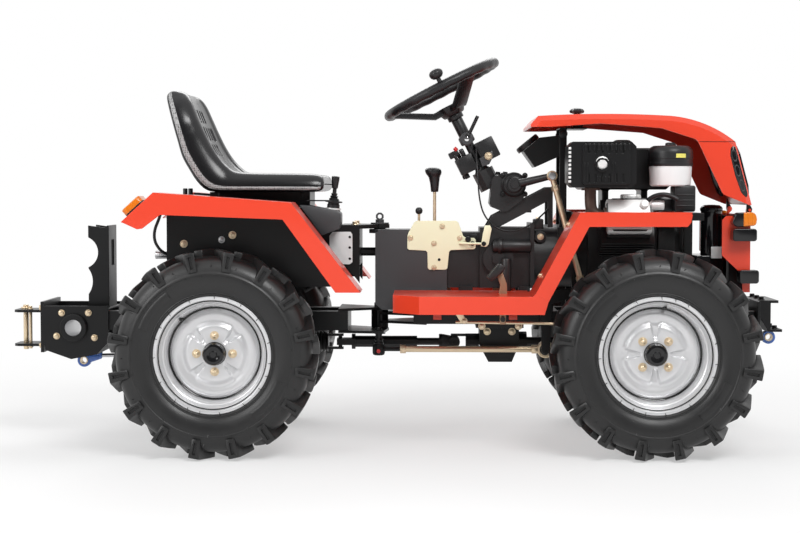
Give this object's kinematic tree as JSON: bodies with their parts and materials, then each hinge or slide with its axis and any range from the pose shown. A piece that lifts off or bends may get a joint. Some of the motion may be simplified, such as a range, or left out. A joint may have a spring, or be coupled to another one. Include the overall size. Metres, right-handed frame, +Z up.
{
  "type": "articulated mini tractor",
  "caption": "Small articulated four-wheel-drive garden tractor with a tilting hood, open engine, steering linkage across the centre joint, seat and front and rear hitches.",
  "frame": {"origin": "ground, midway along the length and on the centre plane", "axes": "+X forward, +Y to the left, +Z up"},
  "size_m": [2.36, 0.955, 1.1738],
  "materials": {
    "tyre": "matt black rubber",
    "red": "gloss red enamel",
    "wheel": "silver enamel rim with a black hub",
    "black": "satin black enamel",
    "grey": "dark grey enamel",
    "alloy": "cast alloy",
    "cast": "black painted casting",
    "steel": "machined steel",
    "zinc": "yellow zinc plate",
    "plastic": "black moulded plastic",
    "gloss": "glossy black",
    "white": "white and black moulding",
    "vinyl": "black vinyl",
    "amber": "amber lens",
    "blue": "blue enamel",
    "muffler": "heat-stained black"
  },
  "bodies": {
    "front_half": {"front_frame": "black", "tunnel_box": "grey", "gearbox": "cast", "transfer_case": "cast", "front_axle": "cast", "engine_block": "alloy", "muffler": "muffler", "air_cleaner": "white", "fuel_tank": "black", "floor_pan": "red", "front_fenders": "red", "nose_panel": "red", "front_lamps": "plastic", "dash_bracket": "plastic", "steering_gear": "cast", "steering_column": "plastic", "battery": "plastic", "front_hitch": "black", "front_tow_eye": "blue", "pedals": "black", "shift_plate": "zinc", "shift_levers": "plastic"},
    "rear_half": {"rear_frame": "black", "rear_axle": "cast", "rear_body": "black", "rear_fenders": "red", "seat": "vinyl", "tail_lamps": "amber", "lift_control": "grey", "rear_hitch": "black", "hitch_pins": "zinc", "lift_tower": "black", "rear_tow_eye": "blue"},
    "hood_assembly": {"hood": "red", "hood_grille": "gloss"},
    "steering_wheel_body": {"steering_wheel": "plastic"},
    "pitman_arm_body": {"pitman_arm": "steel"},
    "drag_link_body": {"drag_link": "zinc"},
    "bell_crank_body": {"bell_crank": "steel"},
    "tie_rod_body": {"tie_rod": "zinc"},
    "prop_front_body": {"prop_front": "steel"},
    "prop_rear_body": {"prop_rear": "steel"},
    "road_wheel_front_right": {"tyre_front_right": "tyre", "wheel_front_right": "wheel"},
    "road_wheel_front_left": {"tyre_front_left": "tyre", "wheel_front_left": "wheel"},
    "road_wheel_rear_right": {"tyre_rear_right": "tyre", "wheel_rear_right": "wheel"},
    "road_wheel_rear_left": {"tyre_rear_left": "tyre", "wheel_rear_left": "wheel"}
  },
  "joints": [
    {"name": "articulation", "type": "hinge", "parent": "front_half", "child": "rear_half", "pos_m": [-0.046, 0, 0.37], "axis": [0, 0, 1], "range_deg": [-30, 30]},
    {"name": "roll_front_right", "type": "hinge", "parent": "front_half", "child": "road_wheel_front_right", "pos_m": [0.754, -0.4, 0.3], "axis": [0, 1, 0], "continuous": true},
    {"name": "roll_front_left", "type": "hinge", "parent": "front_half", "child": "road_wheel_front_left", "pos_m": [0.754, 0.4, 0.3], "axis": [0, 1, 0], "continuous": true},
    {"name": "roll_rear_right", "type": "hinge", "parent": "rear_half", "child": "road_wheel_rear_right", "pos_m": [-0.508, -0.4, 0.3], "axis": [0, 1, 0], "continuous": true},
    {"name": "roll_rear_left", "type": "hinge", "parent": "rear_half", "child": "road_wheel_rear_left", "pos_m": [-0.508, 0.4, 0.3], "axis": [0, 1, 0], "continuous": true},
    {"name": "hood_lift", "type": "hinge", "parent": "front_half", "child": "hood_assembly", "pos_m": [1.064, 0, 0.709], "axis": [0, 1, 0], "range_deg": [0, 70]},
    {"name": "steering_turn", "type": "hinge", "parent": "front_half", "child": "steering_wheel_body", "pos_m": [0.145, 0, 1.079], "axis": [-0.452, 0, 0.892], "range_deg": [-541, 541]},
    {"name": "pitman_turn", "type": "hinge", "parent": "front_half", "child": "pitman_arm_body", "pos_m": [0.365, -0.13, 0.785], "axis": [0, 1, 0], "range_deg": [-21, 21]},
    {"name": "drag_link_turn", "type": "hinge", "parent": "pitman_arm_body", "child": "drag_link_body", "pos_m": [0.476, -0.15, 0.811], "axis": [0, 1, 0], "range_deg": [-21, 21]},
    {"name": "bell_crank_turn", "type": "hinge", "parent": "front_half", "child": "bell_crank_body", "pos_m": [0.461, -0.13, 0.44], "axis": [0, 1, 0], "range_deg": [-21, 21]},
    {"name": "tie_rod_turn", "type": "hinge", "parent": "rear_half", "child": "tie_rod_body", "pos_m": [-0.046, -0.11, 0.285], "axis": [0, 0, 1], "range_deg": [-30.5, 30.5]},
    {"name": "prop_front_turn", "type": "hinge", "parent": "front_half", "child": "prop_front_body", "pos_m": [0.185, 0, 0.298], "axis": [0, 0, 1], "range_deg": [-10.5, 10.5]},
    {"name": "prop_rear_turn", "type": "hinge", "parent": "rear_half", "child": "prop_rear_body", "pos_m": [-0.169, 0, 0.298], "axis": [0, 0, 1], "range_deg": [-20, 20]}
  ],
  "couplings": [
    {"joint": "steering_turn", "follows": "articulation", "ratio": -18},
    {"joint": "pitman_turn", "follows": "articulation", "ratio": -0.6926},
    {"joint": "drag_link_turn", "follows": "articulation", "ratio": 0.6926},
    {"joint": "bell_crank_turn", "follows": "articulation", "ratio": -0.6926},
    {"joint": "tie_rod_turn", "follows": "articulation", "ratio": -1},
    {"joint": "prop_front_turn", "follows": "articulation", "ratio": 0.3443},
    {"joint": "prop_rear_turn", "follows": "articulation", "ratio": -0.6557}
  ]
}
